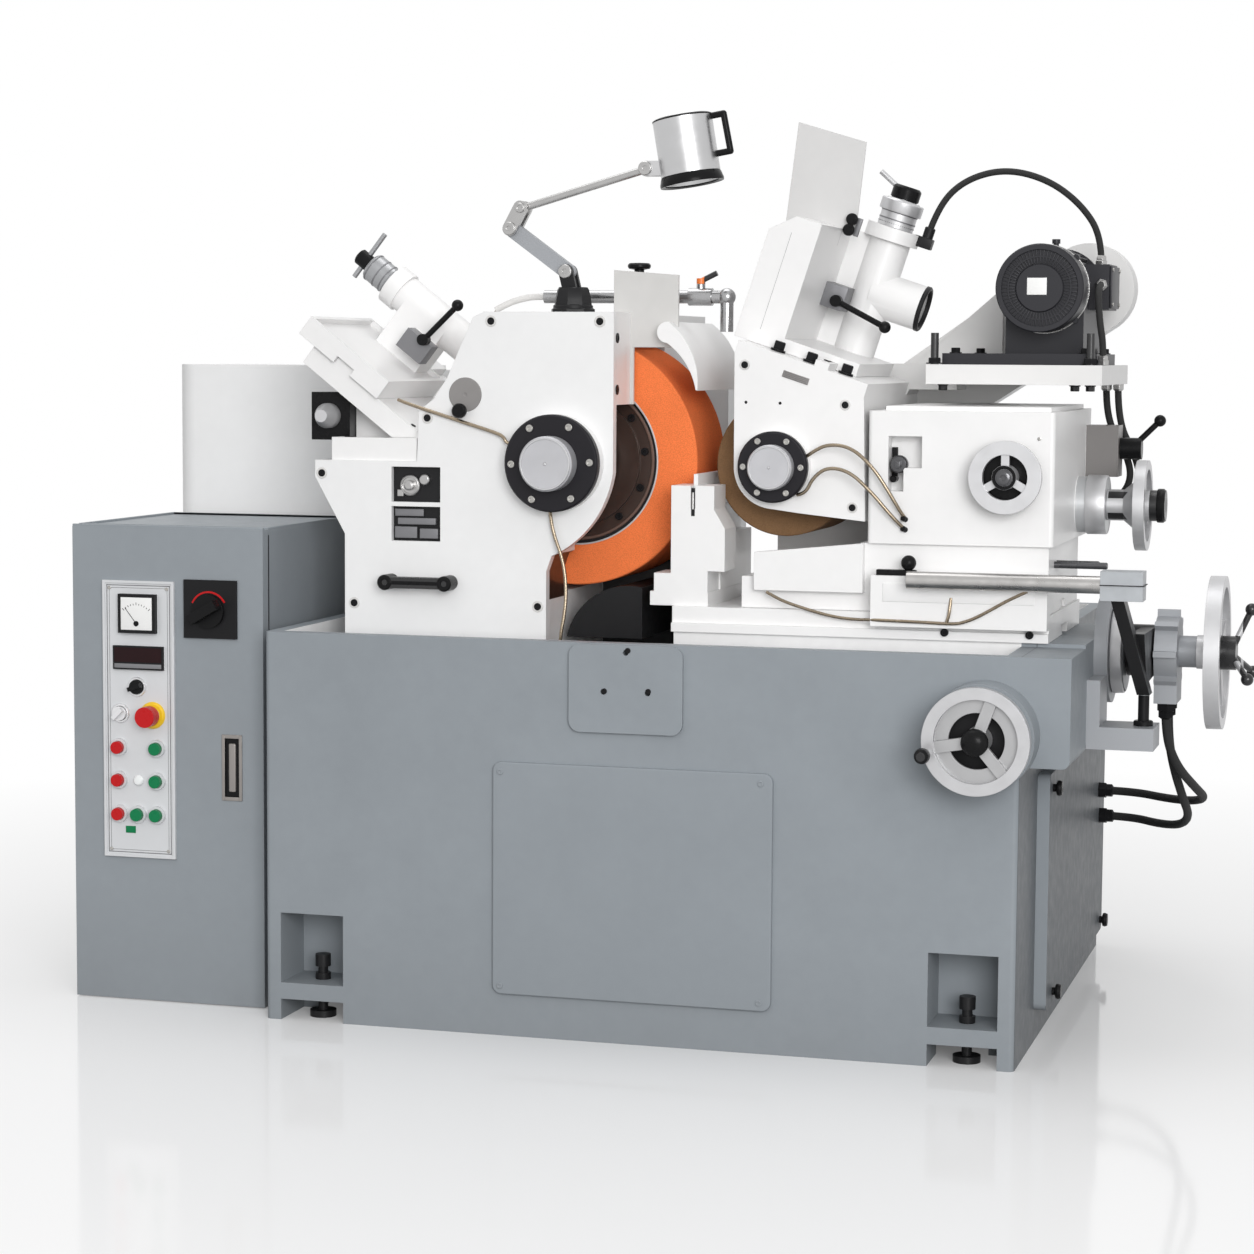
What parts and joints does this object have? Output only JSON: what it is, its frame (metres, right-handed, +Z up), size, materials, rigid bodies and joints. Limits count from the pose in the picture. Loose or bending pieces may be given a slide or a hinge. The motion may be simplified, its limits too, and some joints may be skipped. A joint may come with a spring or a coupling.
{
  "type": "centreless cylindrical grinding machine",
  "caption": "Centreless grinder: cast bed, large orange grinding wheel, tilting regulating wheel head on slides, dressers, work lamp and electrical cabinet.",
  "frame": {"origin": "centre of the bed's foot on the floor", "axes": "+X to the operator's right, from the grinding wheel to the regulating wheel; +Y to the back, along both spindles; +Z up"},
  "size_m": [2.142, 1.3043, 1.6346],
  "materials": {
    "grey_paint": "semi-gloss machine grey enamel",
    "white_paint": "semi-gloss white enamel",
    "unit_grey": "light grey enamel on castings",
    "black_paint": "satin black",
    "flange_black": "blackened steel flange",
    "abrasive": "open-pored orange abrasive",
    "tan_rubber": "rubber-bonded tan abrasive",
    "dark_steel": "oiled dark steel",
    "bright_steel": "ground bright steel",
    "aluminium": "turned and polished aluminium",
    "zinc": "zinc-plated pipe",
    "panel_plate": "anodised front plate",
    "black_plastic": "moulded black",
    "red_plastic": "moulded red",
    "green_plastic": "moulded green",
    "orange_plastic": "dipped orange",
    "motor_black": "gloss black enamel",
    "hose_rubber": "smooth black rubber"
  },
  "bodies": {
    "bed": {"bed_casting": "grey_paint", "access_covers": "grey_paint", "levelling_bolts": "black_paint", "wheel_head": "white_paint", "wheel_head_cover": "white_paint", "wheel_guard": "white_paint", "grinding_bearing_cover": "flange_black", "drive_cover": "white_paint", "coolant_pipe": "zinc", "cabinet_body": "grey_paint", "infeed_unit": "unit_grey", "hydraulic_hoses": "hose_rubber"},
    "door": {"cabinet_door": "grey_paint", "control_panel": "panel_plate"},
    "main_switch": {"main_switch_knob": "black_plastic"},
    "speed_knob": {"speed_knob": "black_plastic"},
    "selector": {"selector_knob": "black_plastic"},
    "emergency_stop": {"emergency_stop": "red_plastic"},
    "red_upper": {"red_button_upper": "red_plastic"},
    "red_middle": {"red_button_middle": "red_plastic"},
    "red_lower": {"red_button_lower": "red_plastic"},
    "green_upper": {"green_button_upper": "green_plastic"},
    "green_middle": {"green_button_middle": "green_plastic"},
    "green_left": {"green_button_lower_left": "green_plastic"},
    "green_right": {"green_button_lower_right": "green_plastic"},
    "grinding_wheel": {"grinding_wheel": "abrasive", "grinding_spindle": "dark_steel"},
    "grinding_dresser": {"grinding_dresser_carriage": "white_paint"},
    "grinding_quill": {"grinding_dresser_quill": "bright_steel"},
    "grinding_crank": {"grinding_dresser_crank": "aluminium"},
    "grinding_lever": {"grinding_dresser_lever": "black_plastic"},
    "traverse_knob": {"traverse_knob": "aluminium"},
    "lower_slide": {"lower_slide": "white_paint", "work_rest": "white_paint"},
    "upper_slide": {"upper_slide": "white_paint", "gearbox": "white_paint"},
    "tilt_wheel": {"tilt_handwheel": "aluminium"},
    "speed_wheel": {"speed_handwheel": "aluminium"},
    "gear_lever": {"gear_lever": "black_plastic"},
    "regulating_head": {"regulating_head": "white_paint", "regulating_bearing_cover": "flange_black", "motor_table": "white_paint", "regulating_motor": "motor_black", "dresser_hose": "hose_rubber", "motor_cable": "hose_rubber", "supply_hoses": "hose_rubber"},
    "regulating_wheel": {"regulating_wheel": "tan_rubber", "regulating_spindle": "dark_steel"},
    "regulating_dresser": {"regulating_dresser_carriage": "white_paint"},
    "regulating_quill": {"regulating_dresser_quill": "bright_steel"},
    "regulating_crank": {"regulating_dresser_crank": "aluminium"},
    "regulating_lever": {"regulating_dresser_lever": "black_plastic"},
    "infeed_wheel": {"infeed_handwheel": "aluminium"},
    "infeed_lever": {"infeed_lever": "black_paint"},
    "front_wheel": {"front_handwheel": "aluminium"},
    "lamp_base": {"lamp_base": "black_paint"},
    "lamp_lower": {"lamp_lower_arm": "unit_grey"},
    "lamp_upper": {"lamp_upper_arm": "bright_steel"},
    "lamp_head": {"lamp_head": "aluminium"},
    "valve_lever": {"coolant_valve_lever": "orange_plastic"}
  },
  "joints": [
    {"name": "door_hinge", "type": "hinge", "parent": "bed", "child": "door", "pos_m": [-1.097, -0.48, 0.441], "axis": [0, 0, -1], "range_deg": [0, 110]},
    {"name": "main_switch_turn", "type": "hinge", "parent": "door", "child": "main_switch", "pos_m": [-0.816, -0.512, 0.732], "axis": [0, -1, 0], "range_deg": [0, 90]},
    {"name": "speed_knob_turn", "type": "hinge", "parent": "door", "child": "speed_knob", "pos_m": [-0.96, -0.51, 0.588], "axis": [0, -1, 0], "range_deg": [-135, 135]},
    {"name": "selector_turn", "type": "hinge", "parent": "door", "child": "selector", "pos_m": [-0.994, -0.51, 0.538], "axis": [0, -1, 0], "range_deg": [-45, 45]},
    {"name": "emergency_stop_press", "type": "slide", "parent": "door", "child": "emergency_stop", "axis": [0, 1, 0], "range_m": [0, 0.005], "stiffness_N_per_m": 400},
    {"name": "red_upper_press", "type": "slide", "parent": "door", "child": "red_upper", "axis": [0, 1, 0], "range_m": [0, 0.005], "stiffness_N_per_m": 400},
    {"name": "red_middle_press", "type": "slide", "parent": "door", "child": "red_middle", "axis": [0, 1, 0], "range_m": [0, 0.005], "stiffness_N_per_m": 400},
    {"name": "red_lower_press", "type": "slide", "parent": "door", "child": "red_lower", "axis": [0, 1, 0], "range_m": [0, 0.005], "stiffness_N_per_m": 400},
    {"name": "green_upper_press", "type": "slide", "parent": "door", "child": "green_upper", "axis": [0, 1, 0], "range_m": [0, 0.005], "stiffness_N_per_m": 400},
    {"name": "green_middle_press", "type": "slide", "parent": "door", "child": "green_middle", "axis": [0, 1, 0], "range_m": [0, 0.005], "stiffness_N_per_m": 400},
    {"name": "green_left_press", "type": "slide", "parent": "door", "child": "green_left", "axis": [0, 1, 0], "range_m": [0, 0.005], "stiffness_N_per_m": 400},
    {"name": "green_right_press", "type": "slide", "parent": "door", "child": "green_right", "axis": [0, 1, 0], "range_m": [0, 0.005], "stiffness_N_per_m": 400},
    {"name": "grinding_spin", "type": "hinge", "parent": "bed", "child": "grinding_wheel", "pos_m": [-0.183, -0.185, 1.01], "axis": [0, 1, 0], "continuous": true},
    {"name": "dresser_traverse", "type": "slide", "parent": "bed", "child": "grinding_dresser", "axis": [0, 1, 0], "range_m": [-0.17, 0.06]},
    {"name": "dresser_feed", "type": "slide", "parent": "grinding_dresser", "child": "grinding_quill", "axis": [-0.788, 0, 0.6157], "range_m": [0, 0.025]},
    {"name": "dresser_crank_turn", "type": "hinge", "parent": "grinding_quill", "child": "grinding_crank", "pos_m": [-0.65581, -0.13, 1.3794], "axis": [-0.788, 0, 0.6157], "range_deg": [-5, 1810]},
    {"name": "dresser_clamp", "type": "hinge", "parent": "grinding_dresser", "child": "grinding_lever", "pos_m": [-0.507, -0.206, 1.229], "axis": [0, 1, 0], "range_deg": [-20, 60]},
    {"name": "traverse_knob_turn", "type": "hinge", "parent": "bed", "child": "traverse_knob", "pos_m": [-0.64, -0.36, 1.088], "axis": [0, -1, 0], "range_deg": [-6130, 2170]},
    {"name": "lower_slide_feed", "type": "slide", "parent": "bed", "child": "lower_slide", "axis": [1, 0, 0], "range_m": [-0.003, 0.025]},
    {"name": "front_wheel_turn", "type": "hinge", "parent": "bed", "child": "front_wheel", "pos_m": [0.622, -0.672, 0.573], "axis": [0, -1, 0], "range_deg": [-140, 1130]},
    {"name": "upper_slide_feed", "type": "slide", "parent": "lower_slide", "child": "upper_slide", "axis": [1, 0, 0], "range_m": [-0.007, 0.018]},
    {"name": "infeed_wheel_turn", "type": "hinge", "parent": "bed", "child": "infeed_wheel", "pos_m": [0.97, -0.185, 0.686], "axis": [1, 0, 0], "range_deg": [-215, 545]},
    {"name": "regulating_tilt", "type": "hinge", "parent": "upper_slide", "child": "regulating_head", "pos_m": [0.372, -0.185, 1.008], "axis": [1, 0, 0], "range_deg": [-2, 4]},
    {"name": "tilt_wheel_turn", "type": "hinge", "parent": "upper_slide", "child": "tilt_wheel", "pos_m": [0.624, -0.42, 0.998], "axis": [0, -1, 0], "range_deg": [-85, 165]},
    {"name": "speed_wheel_turn", "type": "hinge", "parent": "upper_slide", "child": "speed_wheel", "pos_m": [0.82, -0.055, 0.937], "axis": [1, 0, 0], "range_deg": [-360, 360]},
    {"name": "gear_lever_turn", "type": "hinge", "parent": "upper_slide", "child": "gear_lever", "pos_m": [0.763, 0.075, 1.036], "axis": [1, 0, 0], "range_deg": [-20, 20]},
    {"name": "regulating_spin", "type": "hinge", "parent": "regulating_head", "child": "regulating_wheel", "pos_m": [0.209, -0.185, 1.008], "axis": [0, 1, 0], "continuous": true},
    {"name": "regulating_traverse", "type": "slide", "parent": "regulating_head", "child": "regulating_dresser", "axis": [0, 1, 0], "range_m": [-0.268, 0.008]},
    {"name": "regulating_feed", "type": "slide", "parent": "regulating_dresser", "child": "regulating_quill", "axis": [0.309, 0, 0.9511], "range_m": [0, 0.025]},
    {"name": "regulating_crank_turn", "type": "hinge", "parent": "regulating_quill", "child": "regulating_crank", "pos_m": [0.35733, -0.02, 1.46451], "axis": [0.309, 0, 0.9511], "range_deg": [-5, 1810]},
    {"name": "regulating_clamp", "type": "hinge", "parent": "regulating_dresser", "child": "regulating_lever", "pos_m": [0.26114, -0.108, 1.30439], "axis": [0, 1, 0], "range_deg": [-25, 35]},
    {"name": "infeed_lever_turn", "type": "hinge", "parent": "bed", "child": "infeed_lever", "pos_m": [0.838, -0.185, 0.686], "axis": [-1, 0, 0], "range_deg": [0, 14]},
    {"name": "lamp_swivel", "type": "hinge", "parent": "bed", "child": "lamp_base", "pos_m": [-0.176, -0.34, 1.3], "axis": [0, 0, 1], "range_deg": [-80, 80]},
    {"name": "lamp_lower_turn", "type": "hinge", "parent": "lamp_base", "child": "lamp_lower", "pos_m": [-0.186, -0.34, 1.352], "axis": [0, -1, 0], "range_deg": [-12, 20]},
    {"name": "lamp_upper_turn", "type": "hinge", "parent": "lamp_lower", "child": "lamp_upper", "pos_m": [-0.292, -0.34, 1.429], "axis": [0, -1, 0], "range_deg": [-10, 22]},
    {"name": "lamp_tilt", "type": "hinge", "parent": "lamp_upper", "child": "lamp_head", "pos_m": [-0.038, -0.34, 1.534], "axis": [0, -1, 0], "range_deg": [-30, 30]},
    {"name": "valve_turn", "type": "hinge", "parent": "bed", "child": "valve_lever", "pos_m": [0.036, -0.24, 1.336], "axis": [0, 0, -1], "range_deg": [0, 90]}
  ],
  "couplings": [
    {"joint": "dresser_crank_turn", "follows": "dresser_feed", "rad_per_m": 1256.6},
    {"joint": "traverse_knob_turn", "follows": "dresser_traverse", "rad_per_m": 628.32},
    {"joint": "front_wheel_turn", "follows": "lower_slide_feed", "rad_per_m": 785.4},
    {"joint": "infeed_wheel_turn", "follows": "upper_slide_feed", "rad_per_m": 523.6},
    {"joint": "tilt_wheel_turn", "follows": "regulating_tilt", "ratio": 40},
    {"joint": "regulating_crank_turn", "follows": "regulating_feed", "rad_per_m": 1256.6}
  ]
}
